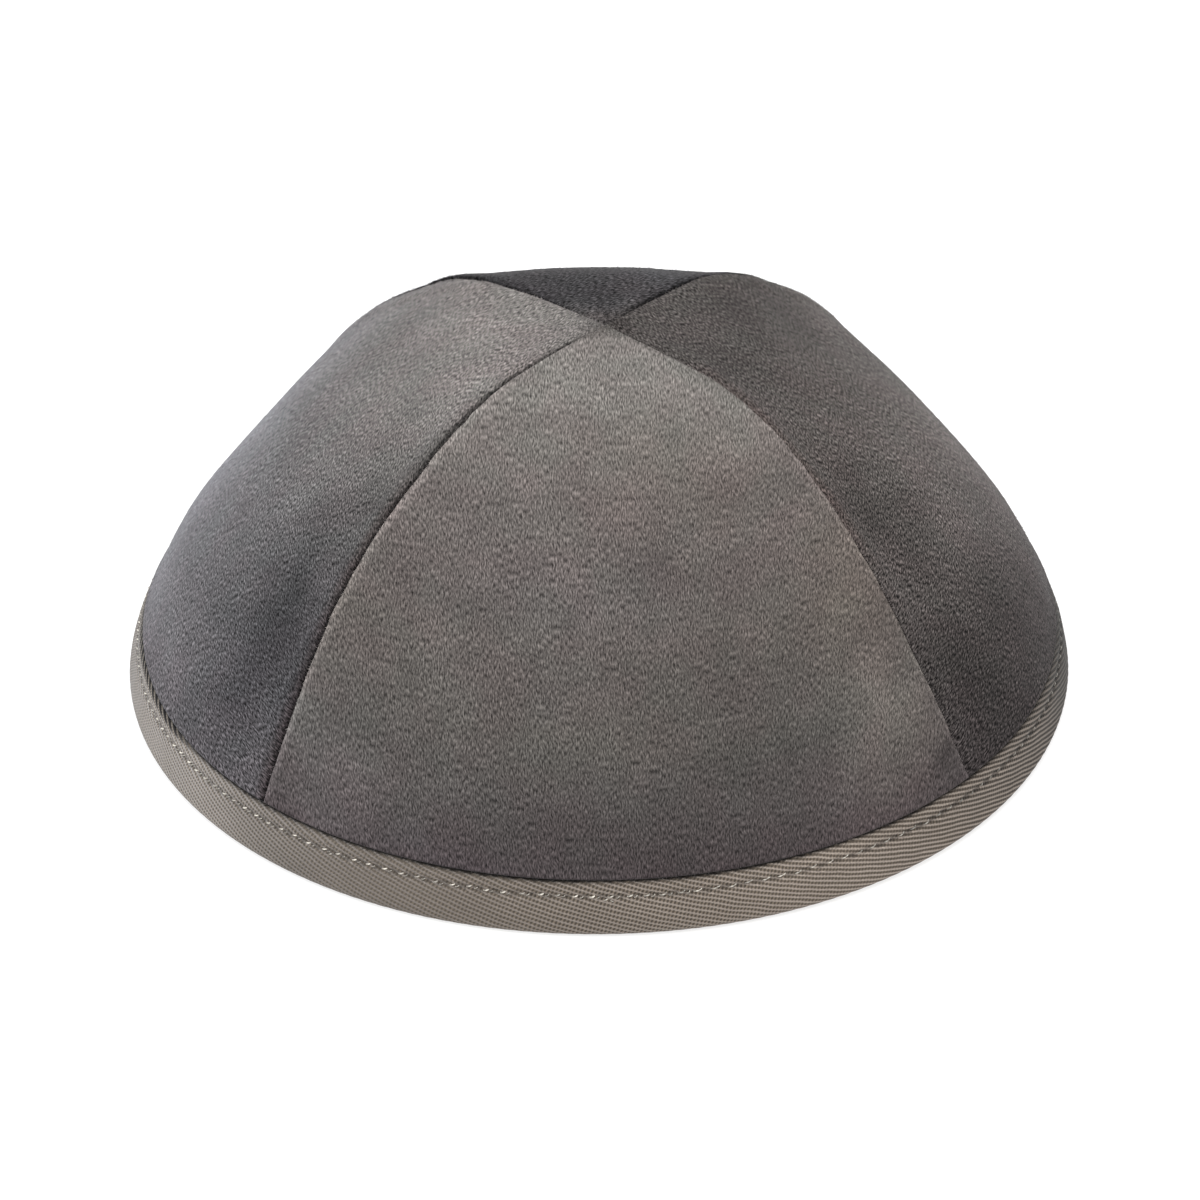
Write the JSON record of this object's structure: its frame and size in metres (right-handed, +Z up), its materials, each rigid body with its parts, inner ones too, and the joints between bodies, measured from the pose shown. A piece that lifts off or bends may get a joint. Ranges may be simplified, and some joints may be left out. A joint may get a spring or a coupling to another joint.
{
  "type": "kippah",
  "caption": "Soft round skullcap sewn from velvet panels that meet at the crown, with a folded twill tape round the rim; open below for the head.",
  "frame": {"origin": "middle of the cap's footprint, on the surface that its rim rests on", "axes": "+Z up through the crown, -Y towards the front panel, +X towards the right panel as seen from the front"},
  "size_m": [0.1706, 0.1696, 0.0688],
  "materials": {
    "velvet_front": "short pile velvet, warm grey, nap running down the panel",
    "velvet_right": "short pile velvet, warm grey, nap seen from its dark side",
    "velvet_back": "short pile velvet, cool grey",
    "velvet_left": "short pile velvet, cool grey",
    "twill_tape": "ribbed twill tape, taupe, matt with a faint sheen on the ribs",
    "stitch_thread": "fine sewing thread, pale ivory, with a soft shine"
  },
  "bodies": {
    "root": {"panel_front": "velvet_front", "panel_right": "velvet_right", "panel_back": "velvet_back", "panel_left": "velvet_left", "rim_binding": "twill_tape"}
  },
  "joints": []
}
